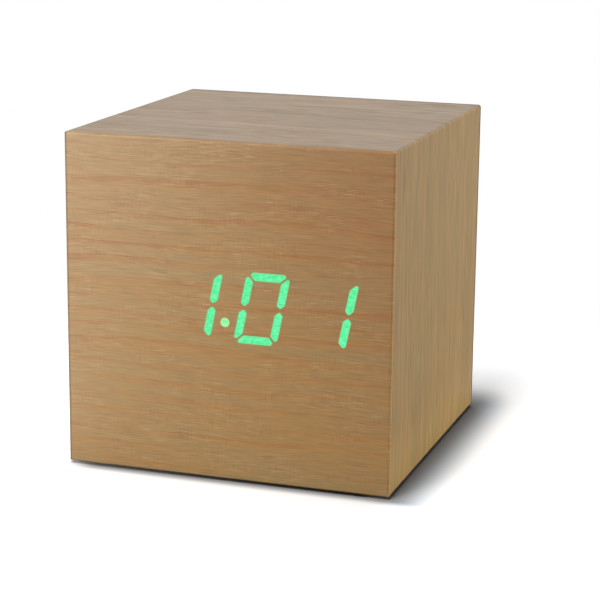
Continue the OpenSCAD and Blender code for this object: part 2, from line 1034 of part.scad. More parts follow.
// A tube of n sides along a path, closed at both ends
function tube_frame(path, i) = let (
    last = len(path) - 1,
    along = unit(path[min(i + 1, last)] - path[max(i - 1, 0)]),
    side = unit(cross(along, abs(along[2]) < 0.9 ? [0, 0, 1] : [0, 1, 0]))
) [side, cross(side, along)];

module tube(path, d, n) {
    rings = len(path);
    points = [
        for (i = [0:rings - 1])
            let (f = tube_frame(path, i))
                for (k = [0:n - 1])
                    path[i] + d / 2 * (cos(360 * k / n) * f[0] + sin(360 * k / n) * f[1])
    ];
    sides = [
        for (i = [0:rings - 2], k = [0:n - 1])
            let (a = i * n + k, b = i * n + (k + 1) % n)
                for (face = [[a, b, b + n], [a, b + n, a + n]])
                    face
    ];
    caps = [
        for (k = [1:n - 2])
            for (face = [[0, k + 1, k], [(rings - 1) * n, (rings - 1) * n + k, (rings - 1) * n + k + 1]])
                face
    ];
    polyhedron(points = points, faces = concat(sides, caps), convexity = 6);
}

// A conical contact spring's path from its plate at zero to the cell at spring_l, along X
spring_steps = round(spring_turns * spring_rings);
spring_lead = spring_wire_d;
function spring_coil(t) = let (
    angle = 360 * spring_turns * t,
    r = spring_base_r + (spring_tip_r - spring_base_r) * t
) [
    2 * spring_lead + (spring_l - 4 * spring_lead) * t,
    r * cos(angle),
    r * sin(angle)
];
spring_path = concat(
    [[0, spring_base_r, 0], [spring_lead, spring_base_r, 0]],
    [for (i = [0:spring_steps]) spring_coil(i / spring_steps)],
    [for (x = [spring_l - spring_lead, spring_l])
        let (end = spring_coil(1))
            [x, end[1], end[2]]]
);
spring_gap = min([
    for (i = [0:len(spring_path) - 1], j = [0:len(spring_path) - 1])
        if (j - i > spring_rings / 2)
            norm(spring_path[j] - spring_path[i])
]) - spring_wire_d;
echo(least_gap_between_spring_turns = spring_gap);

module contact_springs() {
    spring_sides = 6;
    color("silver")
        for (i = [0:2])
            translate([-side_end(i), cell_y, cell_z[i]])
                rotate([0, cell_side[i] > 0 ? 0 : 180, 0])
                    tube(spring_path, spring_wire_d, spring_sides);
}

// A lead from the tray's front wall to the main board, with a slack bow
module battery_lead(x) {
    lead_rings = 16;
    lead_sides = 8;
    bow = 16;
    from = [x, tray_front_y, (cell_z[0] + cell_z[2]) / 2];
    to = [x, main_in_y, lead_main_z];
    run = [from, from - [0, bow, 0], to + [0, bow, 0], to];
    straight = [0, lead_d, 0];
    middle = [for (i = [1:lead_rings - 1]) curve(run, i / lead_rings)];
    tube(concat([from, from - straight], middle, [to + straight, to]), lead_d, lead_sides);
}

module battery_lead_red() {
    color("firebrick")
        battery_lead(lead_x);
}

module battery_lead_black() {
    color("black")
        battery_lead(lead_x + lead_gap);
}

// Back panel and battery door

panel_w = inner_w - 2 * panel_gap;
panel_h = inner_h - 2 * panel_gap;
screw_sink = 1.3;
screw_head_h = 1.1;
screw_tip_room = 0.6;
screw_bite = block_l - screw_tip_room;
screw_hole_room = 0.4;
screw_sink_room = 0.3;
screw_hole_d = screw_d + 2 * screw_hole_room;
screw_sink_d = screw_head_d + 2 * screw_sink_room;
scoop_r = 2.2;
scoop_depth = 1.2;
scoop_side = 2;
scoop_l = latch_w + 2 * scoop_side;

module back_panel() {
    through = [panel_in_y - cut_over, panel_out_y + cut_over];
    color("black")
        difference() {
            union() {
                translate([0, 0, mid_z])
                    slab_y(panel_in_y, panel_out_y)
                        square([panel_w, panel_h], center = true);
                at_key_screws()
                    bar_y(key_boss_d, key_out_y, panel_in_y + panel_t / 2);
            }
            // pocket, opening and hinge holes of the battery door
            block([-door_w / 2 - door_gap, pocket_in_y, door_bottom - door_gap],
                [door_w / 2 + door_gap, through[1], door_top + door_gap]);
            block([-open_w / 2, through[0], open_bottom], [open_w / 2, through[1], open_top]);
            bar_x(hinge_pin_d + 2 * hinge_slip, -door_w / 2 - hinge_pin_l - slip,
                door_w / 2 + hinge_pin_l + slip, hinge_y, hinge_z);
            // finger scoop above the latch
            bar_x(2 * scoop_r, -scoop_l / 2, scoop_l / 2, panel_out_y + scoop_r - scoop_depth, door_top);
            // buttons, jack, microphone and sound holes
            for (x = [set_x, up_x, down_x])
                bar_y(button_d + 2 * button_clearance, through[0], through[1], x, key_z);
            bar_y(jack_d + 2 * slip, through[0], through[1], jack_x, key_z);
            bar_y(mic_hole_d, through[0], through[1], mic_x, key_z);
            for (i = [0:sound_holes - 1])
                bar_y(sound_hole_d, through[0], through[1],
                    (i - (sound_holes - 1) / 2) * sound_hole_pitch, inner_bottom + strip_h / 2);
            // screws
            at_panel_screws() {
                bar_y(screw_hole_d, through[0], through[1]);
                bar_y(screw_sink_d, panel_out_y - screw_sink, through[1]);
            }
            at_key_screws()
                bar_y(key_screw_d + 2 * shank_slip, key_out_y - cut_over, key_out_y + key_screw_bite + slip);
        }
}

module back_panel_screws() {
    color("dimgray")
        at_panel_screws()
            screw(screw_d, panel_in_y - screw_bite, panel_out_y - screw_sink, screw_head_d, screw_head_h);
}

module battery_door() {
    latch_slot = latch_w + 2 * cell_slip;
    latch_foot = door_top - latch_l;
    color("black") {
        difference() {
            union() {
                block([-door_w / 2, door_in_y, hinge_z], [door_w / 2, panel_out_y, door_top]);
                bar_x(door_t, -door_w / 2, door_w / 2, hinge_y, hinge_z);
            }
            block([-latch_slot / 2, door_in_y - cut_over, latch_foot],
                [latch_slot / 2, panel_out_y + cut_over, door_top + cut_over]);
        }
        bar_x(hinge_pin_d, -door_w / 2 - hinge_pin_l, door_w / 2 + hinge_pin_l, hinge_y, hinge_z);
    }
}

// The springy latch in the door's upper edge: a strip, a leg through the opening and a nose behind the panel
module door_latch() {
    strip_in_y = panel_out_y - latch_t;
    leg_top = open_top - latch_play;
    leg_bottom = leg_top - latch_leg_t;
    nose_out_y = panel_in_y - cell_slip;
    nose_in_y = nose_out_y - latch_nose_t;
    color("black") {
        slab_x(-latch_w / 2, latch_w / 2)
            polygon([
                [panel_out_y, door_top - latch_l],
                [panel_out_y, door_top],
                [strip_in_y, door_top],
                [strip_in_y, leg_top],
                [nose_out_y, leg_top],
                [nose_out_y, open_top + latch_bite],
                [nose_in_y, open_top + latch_bite / 2],
                [nose_in_y, leg_bottom],
                [strip_in_y, leg_bottom],
                [strip_in_y, door_top - latch_l]
            ]);
        for (i = [1:latch_ridges])
            bar_x(latch_ridge_d, -latch_w / 2, latch_w / 2, panel_out_y, door_top - i * latch_ridge_pitch);
    }
}

front_veneer();
wrap_veneer();
front_board();
top_board();
bottom_board();
left_board();
right_board();
corner_blocks();
rubber_feet();
lit_digits();
lit_dot();
diffuser_film();
reflector_block();
light_guides();
segment_leds();
main_board();
main_board_spacers();
main_board_screws();
controller_chip();
quartz_crystal();
alarm_buzzer();
supply_capacitor();
temperature_sensor();
backup_cell_holder();
backup_cell();
ribbon_sockets();
ribbon_cable();
key_board();
key_board_screws();
tact_switches();
set_button();
up_button();
down_button();
set_plunger();
up_plunger();
down_plunger();
microphone();
power_jack();
power_jack_pin();
battery_tray();
battery_upper();
battery_middle();
battery_lower();
contact_plates();
contact_springs();
battery_lead_red();
battery_lead_black();
back_panel();
back_panel_screws();
battery_door();
door_latch();
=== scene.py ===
# %% [markdown]
# # A wooden cube clock, dressed for its portrait
# The clock is a small box of fibreboard, covered with real wood veneer. Its digits shine through the
# front, and its plastic back holds three buttons, a power jack and a battery door. The construction comes
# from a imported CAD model. This lesson gives every piece its finish, softens the moulded edges, makes the
# wound and wired pieces, and sets up light, floor and camera.

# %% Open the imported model
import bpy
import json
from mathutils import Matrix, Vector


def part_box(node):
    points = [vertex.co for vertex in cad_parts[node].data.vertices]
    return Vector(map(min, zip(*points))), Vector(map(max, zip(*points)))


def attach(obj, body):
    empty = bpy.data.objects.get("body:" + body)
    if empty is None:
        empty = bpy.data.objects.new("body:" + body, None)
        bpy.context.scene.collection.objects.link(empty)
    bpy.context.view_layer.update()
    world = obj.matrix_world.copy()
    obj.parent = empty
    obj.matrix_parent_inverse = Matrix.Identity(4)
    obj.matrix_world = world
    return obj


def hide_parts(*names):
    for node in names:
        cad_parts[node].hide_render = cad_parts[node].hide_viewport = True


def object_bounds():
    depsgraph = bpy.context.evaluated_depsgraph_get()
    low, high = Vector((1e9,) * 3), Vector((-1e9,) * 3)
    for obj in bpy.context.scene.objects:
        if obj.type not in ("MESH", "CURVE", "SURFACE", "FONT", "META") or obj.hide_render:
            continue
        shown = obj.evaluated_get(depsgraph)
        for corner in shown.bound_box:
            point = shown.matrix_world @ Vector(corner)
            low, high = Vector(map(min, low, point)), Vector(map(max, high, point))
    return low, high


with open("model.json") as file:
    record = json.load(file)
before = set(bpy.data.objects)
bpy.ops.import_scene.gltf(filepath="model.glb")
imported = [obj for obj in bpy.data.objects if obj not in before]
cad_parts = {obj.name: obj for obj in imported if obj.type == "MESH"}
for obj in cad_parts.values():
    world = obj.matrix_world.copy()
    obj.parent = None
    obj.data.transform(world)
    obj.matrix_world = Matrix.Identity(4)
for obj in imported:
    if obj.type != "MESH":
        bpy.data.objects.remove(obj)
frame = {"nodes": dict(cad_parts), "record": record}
cad_low, cad_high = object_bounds()
print("nodes:", len(frame["nodes"]), "box:", cad_low[:], cad_high[:])

# %% Tools of the lesson
import json
from math import cos, pi, radians, sin

import bmesh
import bpy
from mathutils import Matrix, Vector

scene = bpy.context.scene
scene.view_settings.view_transform = "Standard"
MM = 0.001

# %% [markdown]
# ## Camera
# The picture was taken from a little to the right of the display and from a little above. Yaw, pitch and
# roll are three turns, so the camera's matrix is written as three turns: first the roll about its own
# line of sight, then the pitch, then the yaw about the upright axis.

# %% Camera
camera_place = Vector((131.0, -384.3, 128.2)) * MM
camera_yaw = radians(18.27)
camera_pitch = radians(13.66)
camera_roll = radians(0.59)
camera = bpy.data.objects.new("camera", bpy.data.cameras.new("camera"))
camera.data.lens = 118.2
camera.data.sensor_width = 36.0
camera.matrix_world = (
    Matrix.Translation(camera_place)
    @ Matrix.Rotation(camera_yaw, 4, "Z")
    @ Matrix.Rotation(radians(90) - camera_pitch, 4, "X")
    @ Matrix.Rotation(camera_roll, 4, "Z")
)
scene.collection.objects.link(camera)
scene.camera = camera
print("camera stands", round((camera_place - (cad_low + cad_high) / 2).length, 3), "m from the clock")

# %% [markdown]
# ## Shader maths
# A shader is a web of small nodes. Wiring them by hand hides the sum that they stand for, so one class
# wraps an output socket. Then `1 - mask` or `grain * 0.2` in Python adds the Math node that does it.
# Every other kind of node comes from the one method `node`, which first sets the node's settings and then
# fills its sockets.

# %% A socket that can be summed
class Wire:
    """One output socket of a material, for use in sums. Without a socket it only knows its material."""

    def __init__(self, tree, socket=None):
        self.tree = tree
        self.socket = socket

    def node(self, kind, settings=None, sockets=None, output=0):
        """Adds a node: its settings first, then the values or links of its sockets."""
        made = self.tree.nodes.new("ShaderNode" + kind)
        for name, value in (settings or {}).items():
            setattr(made, name, value)
        for name, value in (sockets or {}).items():
            if isinstance(value, Wire):
                self.tree.links.new(value.socket, made.inputs[name])
            else:
                made.inputs[name].default_value = value
        return Wire(self.tree, made.outputs[output] if len(made.outputs) else None)

    def math(self, operation, first, second=0.0):
        return self.node("Math", {"operation": operation}, {0: first, 1: second})

    def __add__(self, other):
        return self.math("ADD", self, other)

    def __sub__(self, other):
        return self.math("SUBTRACT", self, other)

    def __rsub__(self, other):
        return self.math("SUBTRACT", other, self)

    def __mul__(self, other):
        return self.math("MULTIPLY", self, other)

    def __truediv__(self, other):
        return self.math("DIVIDE", self, other)

    def __gt__(self, other):
        return self.math("GREATER_THAN", self, other)

    def __lt__(self, other):
        return self.math("LESS_THAN", self, other)

    def __abs__(self):
        return self.math("ABSOLUTE", self)

    __radd__ = __add__

    def least(self, other):
        return self.math("MINIMUM", self, other)

    def most(self, other):
        return self.math("MAXIMUM", self, other)

    def rise(self, low, high):
        """0 below low, 1 above high, with a soft step between."""
        steps = {"Value": self, "From Min": low, "From Max": high}
        return self.node("MapRange", {"interpolation_type": "SMOOTHSTEP"}, steps)

    def mix(self, first, second):
        """The first colour where this is 0, the second where it is 1."""
        return self.node("Mix", {"data_type": "RGBA"}, {0: self, 6: first, 7: second}, 2)

    def tint(self, colour):
        """The colour, made darker or lighter by this value."""
        settings = {"data_type": "RGBA", "blend_type": "MULTIPLY"}
        return self.node("Mix", settings, {0: 1.0, 6: colour, 7: self}, 2)


# %% [markdown]
# A texture is easiest to think about in millimetres. `in_mm` takes the object's own coordinates, which ride
# with the piece when a joint moves, and `grain` stretches a noise to the size of a real fibre or speck.

# %% Helpers for materials
materials = {}


def paint(red, green, blue):
    """A colour as a picture program gives it, 0 to 255, in the linear numbers that shaders work with."""
    shares = [c / 255 for c in (red, green, blue)]
    linear = [s / 12.92 if s <= 0.04045 else ((s + 0.055) / 1.055) ** 2.4 for s in shares]
    return (*linear, 1.0)


def new_material(name):
    """Keeps an empty material under its name, and returns the bench on which its nodes are wired."""
    material = materials[name] = bpy.data.materials.new(name)
    material.use_nodes = True
    material.node_tree.nodes.clear()
    return Wire(material.node_tree)


def in_mm(bench):
    """The three coordinates of a piece in millimetres."""
    place = bench.node("TexCoord", None, None, "Object")
    scaled = bench.node("VectorMath", {"operation": "SCALE"}, {0: place, "Scale": 1 / MM})
    return [bench.node("SeparateXYZ", None, {0: scaled}, axis) for axis in range(3)]


def grain(bench, place, size, detail=2.0, seed=0.0):
    """Noise from 0 to 1 whose blobs have about the given size in millimetres on each axis."""
    shares = {axis: (p + seed) / s for axis, (p, s) in enumerate(zip(place, size))}
    vector = bench.node("CombineXYZ", None, shares)
    return bench.node("TexNoise", None, {"Vector": vector, "Scale": 1.0, "Detail": detail})


def bump(bench, height, depth_mm):
    """A surface direction that follows a height from 0 to 1."""
    return bench.node("Bump", None, {"Strength": 1.0, "Distance": depth_mm * MM, "Height": height})


def finish(bench, **sockets):
    """A Principled surface; Base_Color stands for the socket Base Color, and so on."""
    named = {name.replace("_", " "): value for name, value in sockets.items()}
    shader = bench.node("BsdfPrincipled", None, named)
    bench.node("OutputMaterial", None, {"Surface": shader})


print("white in linear numbers:", paint(255, 255, 255)[:3])

# %% [markdown]
# ## Veneer
# Veneer is a sheet of wood half a millimetre thick. On this clock it is pale and matt. Each year of growth
# starts pale and ends in a reddish line, and between the lines lie soft bands, fine fibres, and short pale
# dashes where the knife cut through a pore. A photograph of wood would need an image, so the grain is built
# from noise that is stretched along the fibre: broad for the bands, slim for the streaks, short for the
# pores. The years are a saw-tooth over the distance across the fibre. A slow sway bends them all alike, as
# the growth of the tree does. Some edges get a dark line of painted shade, where a rounded edge turns away
# from the light. Painted light makes other places paler, which is the share called `lift`; below zero it is
# painted shade.

# %% Wood grain
sway_mm = 3.2
drift_mm = 5
layer_mm = 9
relief_mm = 0.1


def veneer(bench, tones, run, across, layer, edge, lift):
    """Wood with fibre along run; edge: distance to painted shade lines; lift: painted light or shade."""
    flat = (run, across, layer)
    sway = grain(bench, flat, (34, 13, layer_mm), 1.0, seed=3.7)
    drift = grain(bench, flat, (70, 9, layer_mm), 1.0, seed=87.3)
    bent = across + (sway - 0.5) * sway_mm
    spot = (run, bent, layer)
    bands = grain(bench, spot, (60, tones["band_mm"], layer_mm), 3.0)
    streaks = grain(bench, spot, (11, 0.55, layer_mm), 2.0, seed=11.3)
    fibres = grain(bench, spot, (6, 0.2, layer_mm), 1.0, seed=23.9)
    pores = grain(bench, spot, (3.2, 0.15, layer_mm), 0.0, seed=41.1)
    checks = grain(bench, spot, (0.3, 2.6, layer_mm), 0.0, seed=71.3)
    groups = grain(bench, spot, (10, 4, layer_mm), 1.0, seed=57.7)
    flecks = grain(bench, spot, (2.4, 0.8, layer_mm), 1.0, seed=101.9)
    years = (bent + (drift - 0.5) * drift_mm) / tones["year_mm"]
    season = years.math("FRACT", years)
    late = season.rise(0.1, 0.97) - season.rise(0.97, 1.0)
    line = season.rise(0.5, 0.95) - season.rise(0.95, 1.0)
    line = line * bands.rise(0.36, 0.62) * streaks.rise(0.3, 0.6)
    tone = bands.rise(0.36, 0.64) * (1 - tones["year_share"]) + late * tones["year_share"]
    colour = tone.mix(tones["olive"], tones["orange"])
    colour = (line * tones["line_share"]).mix(colour, tones["red"])
    colour = (streaks.rise(0.55, 0.78) * tones["streak_share"]).mix(colour, tones["red"])
    ticks = (checks - 0.5) * groups.rise(0.4, 0.6)
    fine = (fibres - 0.5) * tones["fibre_share"] + (flecks - 0.5) * tones["fleck_share"]
    colour = (1 + fine + ticks * tones["tick_share"]).tint(colour)
    pale_pores = pores.rise(0.62, 0.74) * groups.rise(0.46, 0.58)
    dark_pores = (1 - pores).rise(0.64, 0.76) * groups.rise(0.4, 0.55)
    colour = (pale_pores * 0.5).mix(colour, tones["pale"])
    colour = (dark_pores * 0.4).mix(colour, tones["red"])
    # painted shade: a dark line along the edges given by edge, which are also made matt
    edge_shade = 1 - edge.rise(0.05, 0.55)
    colour = (edge_shade * tones["edge_shade_share"]).mix(colour, tones["edge"])
    # painted light where lift is above zero, painted shade where it is below
    colour = (1 + lift).tint(colour)
    relief = (fibres * 0.6 + streaks * 0.4 - dark_pores * 0.6) * tones["relief"]
    finish(
        bench,
        Base_Color=colour,
        Roughness=0.5 + (fibres - 0.5) * 0.2 + dark_pores * 0.1 + edge_shade * 0.35,
        Specular_IOR_Level=tones["gloss"],
        Normal=bump(bench, relief, relief_mm),
    )


# %% [markdown]
# The front is a square sheet with its fibre from side to side. Its tones are mixed by place: a painted
# sheen makes it paler at the left, painted shade makes it darker and redder at the upper right, and its
# year lines grow stronger upwards. Painted shade lines run along its left and upper edges; painted
# highlights make the lower and right edges paler, and painted shade darkens the lower left a little.

# %% The square on the front
half_side = (cad_high.x - cad_low.x) / 2 / MM
wrap_low, wrap_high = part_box("wrap_veneer")
middle_z = (wrap_low.z + wrap_high.z) / 2 / MM
edge_band = (0.3, 0.7)
left_line, top_line = 0.22, -0.3
figure_up = 2.8
bench = new_material("veneer_front")
x, y, z = in_mm(bench)
height = z - middle_z
# painted sheen: the front grows paler and greyer towards the left
painted_sheen_left = 1 - (x - height * 0.6).rise(-half_side - 20, half_side / 2)
# painted shade: the front grows darker and redder towards the upper right
painted_shade_right = (x + height).rise(0, 2 * half_side)
olive = (painted_sheen_left * 0.4).mix(paint(165, 133, 83), paint(184, 156, 122))
orange = (painted_sheen_left * 0.6).mix(paint(175, 129, 71), paint(172, 140, 102))
front_tones = {
    "olive": (painted_shade_right * 0.5).mix(olive, paint(160, 110, 64)),
    "orange": (painted_shade_right * 0.7).mix(orange, paint(160, 108, 62)),
    "red": paint(156, 98, 56),
    "pale": paint(196, 166, 120),
    # the colour of the painted shade lines
    "edge": paint(60, 52, 44),
    "band_mm": 2.7,
    "year_mm": 3.4,
    "year_share": 0.4,
    "line_share": 0.24 + height.rise(-25, 20) * 0.26,
    "streak_share": 0.2,
    "fibre_share": 0.6,
    "fleck_share": 0.15,
    "tick_share": 0.2,
    "edge_shade_share": 0.65,
    "gloss": 0.5,
    "relief": 0.35,
}
# painted shade lines along the left and upper edges
shade_line_distance = (half_side + x - left_line).least(half_side - height - top_line)
# painted highlights along the lower and right edges, and painted shade towards the lower left
painted_light_below = 1 - (half_side + height).rise(*edge_band)
painted_highlight_right_edge = 1 - (half_side - x).rise(*edge_band)
painted_shade_low_left = (1 - height.rise(-half_side, 0)) * (1 - x.rise(-half_side, 0))
lift = (painted_light_below * 0.4).most(painted_highlight_right_edge * 0.55) - painted_shade_low_left * 0.06
veneer(bench, front_tones, x, z - figure_up, y, shade_line_distance, lift)
print("front veneer is", 2 * half_side, "mm wide")

# %% [markdown]
# The strip on the top and the sides is one sheet that goes round the box, so its fibre follows it round the
# corners: from side to side on the top, upright on the sides. Whether a point lies on a side is read from
# its place, because there the sideways coordinate is the larger one. This sheet is coarser, so its distances
# are divided by `coarser`, which makes all its grain larger. Its top is given greyer tones than its sides, a
# painted sheen. The sides get a painted sheen that fades downwards, so they grow warmer towards the floor,
# and painted light makes them paler there.

# %% The strip round the box
coarser = 2
rear_line, corner_line = 0.4, 0.3
bench = new_material("veneer_wrap")
x, y, z = in_mm(bench)
height = z - middle_z
on_side = abs(x) > abs(height)
on_top = 1 - on_side
# painted sheen: the sides are paler and greyer high up and warmer towards the floor
low = 1 - height.rise(-half_side, half_side)
side_olive = low.mix(paint(164, 137, 95), paint(158, 130, 82))
side_orange = low.mix(paint(174, 143, 100), paint(169, 136, 85))
wrap_tones = {
    # the greyer tones of the top are a painted sheen
    "olive": on_side.mix(paint(148, 129, 108), side_olive),
    "orange": on_side.mix(paint(165, 143, 119), side_orange),
    "red": on_side.mix(paint(98, 82, 62), paint(126, 100, 60)),
    "pale": paint(186, 160, 116),
    # the colour of the painted shade lines
    "edge": paint(84, 72, 58),
    "band_mm": 4.5,
    "year_mm": 1.7,
    "year_share": 0.2,
    "line_share": 0.3,
    "streak_share": 0.2 + on_top * 0.15,
    "fibre_share": 0.7 + on_top * 0.2,
    "fleck_share": on_top * 0.25,
    "tick_share": 0.0,
    "edge_shade_share": 0.7,
    "gloss": 0.05,
    "relief": 0.35 + on_top * 0.3,
}
run = on_side * (2 * half_side - height) + on_top * x
layer = on_side * x + on_top * height
corner = half_side - abs(x).least(abs(height))
rear = half_side - y
# painted shade lines along the rear edges and the left corners
shade_line_distance = (rear - rear_line).least(corner - corner_line + (x > 0) * half_side)
# painted light: paler towards the floor and along the front edge of the right side
painted_light_below = 1 - (half_side + height).rise(2, 16)
painted_highlight_front_edge = (1 - (half_side + y).rise(*edge_band)) * (x > 0)
lift = (painted_light_below * 0.28).most(painted_highlight_front_edge * 0.3)
veneer(bench, wrap_tones, run / coarser, y / coarser, layer / coarser, shade_line_distance, lift)
print("the strip is", 8 * half_side, "mm long")

# %% [markdown]
# ## Light through the veneer
# Each lit segment is a patch of veneer with a light behind it. It shines mint green, a little mottled by the
# fibres, and at its border the light fades through a yellower green to a dark line. The border needs
# geometry to measure from, so each face is inset twice, and a `glow` value is stored on its points: 0 on
# the outline, 1 on the inner ring. The shader reads that value back.

# %% Lit materials
def lit(name, deep, core, rim, border):
    bench = new_material(name)
    x, y, z = in_mm(bench)
    glow = bench.node("Attribute", {"attribute_name": "glow"}, None, "Fac")
    fibres = grain(bench, (x, z, y), (1.6, 0.25, 9), 1.0)
    clouds = grain(bench, (x, z, y), (0.9, 0.8, 9), 1.0, seed=17.0)
    colour = (fibres * 0.5 + clouds * 0.5).rise(0.38, 0.62).mix(deep, core)
    colour = glow.rise(0.4, 1.0).mix(rim, colour)
    colour = glow.rise(0.0, 0.45).mix(border, colour)
    finish(
        bench,
        Base_Color=fibres.rise(0.3, 0.7).mix(paint(12, 26, 18), paint(22, 38, 26)),
        Roughness=0.55 + fibres * 0.1,
        Specular_IOR_Level=0.2,
        Emission_Color=colour,
        Emission_Strength=1.0,
        Normal=bump(bench, fibres, 0.01),
    )


lit("lit_green", paint(76, 234, 144), paint(106, 248, 176), paint(124, 222, 146), paint(112, 128, 74))
lit("lit_dot", paint(130, 238, 148), paint(148, 247, 161), paint(190, 234, 160), paint(150, 142, 92))

# %% Lit pieces
speck = 0.001 * MM
flat_angle = radians(0.5)
facing_front = -0.9


def body_and_slot(node):
    body = next(b for b, members in frame["record"]["behaviour"]["bodies"].items() if node in members)
    slot = next(s["material_slot"] for s in frame["record"]["subparts"] if s["node"] == node)
    return body, slot


def welded(node):
    """A node's mesh for editing: its points joined and its flat triangles merged."""
    mesh = bmesh.new()
    mesh.from_mesh(frame["nodes"][node].data)
    bmesh.ops.remove_doubles(mesh, verts=mesh.verts, dist=speck)
    bmesh.ops.dissolve_limit(mesh, angle_limit=flat_angle, verts=mesh.verts, edges=mesh.edges)
    return mesh


def place(mesh, name, node):
    """Turns an edited mesh into a piece that stands for a node and moves with the node's body."""
    data = bpy.data.meshes.new(name)
    mesh.to_mesh(data)
    mesh.free()
    piece = bpy.data.objects.new(name, data)
    scene.collection.objects.link(piece)
    body, slot = body_and_slot(node)
    data.materials.append(materials[slot])
    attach(piece, body)
    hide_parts(node)
    return piece


def glowing(node, name, outline_mm, rim_mm):
    mesh = welded(node)
    glow = mesh.verts.layers.float.new("glow")
    fronts = [f for f in mesh.faces if f.normal.y < facing_front]
    for level, width in ((0.5, outline_mm), (1.0, rim_mm)):
        bmesh.ops.inset_individual(mesh, faces=fronts, thickness=width * MM, use_even_offset=True)
        for face in fronts:
            for vert in face.verts:
                vert[glow] = level
    return place(mesh, name, node)


segments = glowing("lit_digits", "glowing_digits", 0.08, 0.32)
dot = glowing("lit_dot", "glowing_dot", 0.14, 0.34)
print("lit pieces:", segments.name, len(segments.data.polygons), "faces;", dot.name)

# %% [markdown]
# ## Moulded plastics
# Plastic that came out of a mould shows the mould: a fine etched grain, slow changes of gloss, and edges
# that hands have polished. One recipe serves them all. It takes the colour, the size and depth of the
# etching, and the gloss. Pieces with softened edges store a value there that makes the edge shinier and
# paler, partly wear and partly a painted highlight; pieces without it read 0. The raised marks on the buttons
# have the paler colour too. They stand out furthest at the back, so `mark_y` gives the range of depth in
# which the colour changes.

# %% Plastic recipe
def plastic(name, colour, wear_highlight_colour, etch_mm, etch_depth, roughness, specular=0.5, mark_y=None):
    bench = new_material(name)
    spot = in_mm(bench)
    wear_and_highlight = bench.node("Attribute", {"attribute_name": "wear_and_highlight"}, None, "Fac")
    etch = grain(bench, spot, (etch_mm,) * 3, 2.0)
    flow = grain(bench, spot, (14, 14, 14), 2.0, seed=5.5)
    shade = 1 + (etch - 0.5) * 0.18 + (flow - 0.5) * 0.16
    # paler edges: partly wear, partly a painted highlight
    paler = wear_and_highlight * 0.5
    if mark_y:
        paler = paler.most(spot[1].rise(*mark_y))
    mixed = paler.mix(shade.tint(colour), wear_highlight_colour)
    finish(
        bench,
        Base_Color=mixed,
        Roughness=roughness + (flow - 0.5) * 0.12 + (etch - 0.5) * 0.1 - wear_and_highlight * 0.1,
        Specular_IOR_Level=specular,
        Normal=bump(bench, etch, etch_depth),
    )


mark_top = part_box("up_button")[1].y / MM
mark_y = (mark_top - 0.17, mark_top - 0.1)
# the second colour of each recipe is for the edges: partly wear, partly a painted highlight
plastics = {
    "panel_plastic": (paint(54, 54, 56), paint(98, 98, 101), 0.35, 0.03, 0.42),
    "button_plastic": (paint(78, 79, 82), paint(168, 169, 172), 0.5, 0.008, 0.28, 0.5, mark_y),
    "jack_plastic": (paint(38, 38, 39), paint(84, 84, 86), 0.4, 0.006, 0.22),
    "tray_plastic": (paint(60, 60, 62), paint(104, 104, 106), 0.45, 0.02, 0.4),
    "black_plastic": (paint(28, 28, 30), paint(70, 70, 72), 0.4, 0.01, 0.42),
    "chip_black": (paint(30, 30, 32), paint(58, 58, 60), 0.2, 0.012, 0.6),
    "white_plastic": (paint(226, 225, 220), paint(240, 240, 236), 0.5, 0.008, 0.42),
    "socket_plastic": (paint(224, 216, 194), paint(238, 232, 214), 0.5, 0.008, 0.4),
    "led_body": (paint(232, 226, 178), paint(244, 240, 206), 0.2, 0.004, 0.3),
    "capacitor_sleeve": (paint(28, 36, 74), paint(84, 92, 130), 0.8, 0.006, 0.28),
    "foot_rubber": (paint(30, 30, 30), paint(52, 52, 52), 0.25, 0.03, 0.82, 0.25),
    "lead_red": (paint(166, 26, 24), paint(196, 70, 62), 0.6, 0.006, 0.38),
    "lead_black": (paint(24, 24, 25), paint(62, 62, 62), 0.6, 0.006, 0.38),
    "ribbon_grey": (paint(150, 152, 156), paint(186, 187, 190), 0.5, 0.008, 0.45),
    "diffuser": (paint(238, 238, 232), paint(248, 248, 244), 0.3, 0.004, 0.55),
    "sensor_bead": (paint(96, 58, 30), paint(140, 98, 64), 0.5, 0.01, 0.32),
}
for name, recipe in plastics.items():
    plastic(name, *recipe)
print("plastics:", len(plastics))

# %% [markdown]
# ## Metals
# Plated screws, springs and cans differ in colour and in how the tool left them. The recipe stretches fine
# scratches along one axis and lets stains change the roughness, because on metal it is the roughness that
# the eye reads.

# %% Metal recipe
def metal(name, colour, stain, scratch, roughness):
    bench = new_material(name)
    spot = in_mm(bench)
    lines = grain(bench, spot, scratch, 1.0)
    clouds = grain(bench, spot, (2.6, 2.6, 2.6), 2.0, seed=9.1)
    wear_and_highlight = bench.node("Attribute", {"attribute_name": "wear_and_highlight"}, None, "Fac")
    tone = clouds.rise(0.35, 0.7).mix(colour, stain)
    finish(
        bench,
        # paler along bevelled edges: partly wear, partly a painted highlight
        Base_Color=(1 + (lines - 0.5) * 0.2 + wear_and_highlight * 0.25).tint(tone),
        Metallic=1.0,
        Roughness=roughness + (clouds - 0.5) * 0.16 + (lines - 0.5) * 0.12,
        Normal=bump(bench, lines, 0.006),
    )


metals = {
    "screw_steel": (paint(192, 193, 196), paint(164, 164, 160), (0.12, 2.0, 0.12), 0.34),
    "screw_black": (paint(58, 58, 62), paint(40, 40, 42), (0.3, 1.2, 0.3), 0.42),
    "bright_can": (paint(204, 205, 208), paint(182, 183, 184), (2.0, 0.15, 0.15), 0.26),
    "spring_steel": (paint(202, 202, 202), paint(170, 168, 162), (0.2, 0.2, 1.4), 0.28),
    "contact_brass": (paint(214, 182, 110), paint(180, 146, 84), (0.15, 1.6, 0.15), 0.3),
}
for name, recipe in metals.items():
    metal(name, *recipe)
print("metals:", len(metals))

